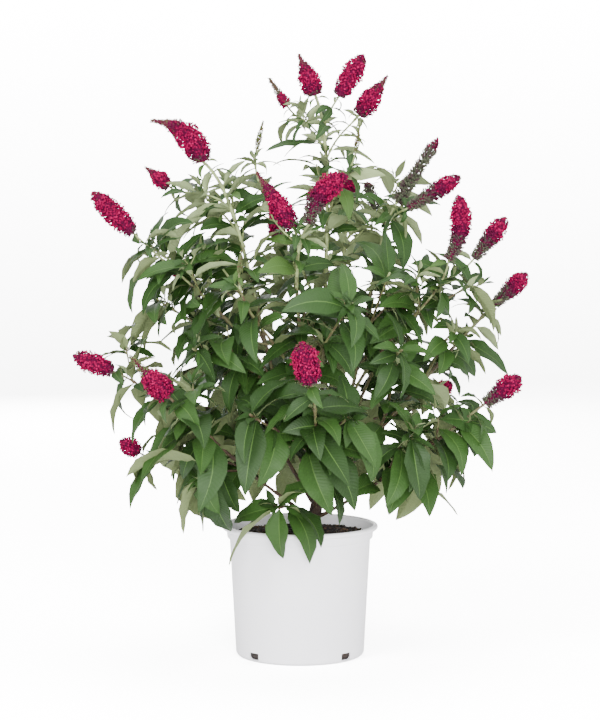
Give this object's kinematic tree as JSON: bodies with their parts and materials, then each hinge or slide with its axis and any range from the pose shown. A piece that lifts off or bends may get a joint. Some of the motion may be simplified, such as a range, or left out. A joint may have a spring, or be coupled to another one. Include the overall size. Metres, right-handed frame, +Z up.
{
  "type": "potted butterfly bush",
  "caption": "Flowering butterfly bush with arching leafy shoots ending in crimson-magenta flower spikes, on a short woody trunk in a round white nursery pot",
  "frame": {"origin": "centre of the pot's flat underside, on the ground it stands on", "axes": "+Z up the plant, +X to the right and -Y towards the viewer as the plant is seen from its front"},
  "size_m": [0.8036, 0.6689, 1.0721],
  "materials": {
    "pot": "smooth moulded white plastic, slightly satin",
    "soil": "damp dark bark potting mix",
    "stems": "thin reddish-brown bark, finely fissured at the base",
    "foliage": "matte mid-green leaves with grey-green undersides, crimson-magenta blossom"
  },
  "bodies": {
    "root": {"pot": "pot", "soil": "soil", "trunk": "stems", "bough_leader": "stems", "bough_front_spire": "stems", "bough_front_low": "stems", "bough_left_low": "stems", "bough_left_upper": "stems", "bough_right_upper": "stems", "bough_right_mid": "stems", "bough_right_low": "stems", "bough_rim_front": "stems", "bough_back_right": "stems", "bough_back_upper": "stems", "bough_back_left": "stems", "bough_back_low": "stems", "foliage_leader": "foliage", "foliage_front_spire": "foliage", "foliage_front_low": "foliage", "foliage_left_low": "foliage", "foliage_left_upper": "foliage", "foliage_right_upper": "foliage", "foliage_right_mid": "foliage", "foliage_right_low": "foliage", "foliage_rim_front": "foliage", "foliage_back_right": "foliage", "foliage_back_upper": "foliage", "foliage_back_left": "foliage", "foliage_back_low": "foliage"}
  },
  "joints": []
}
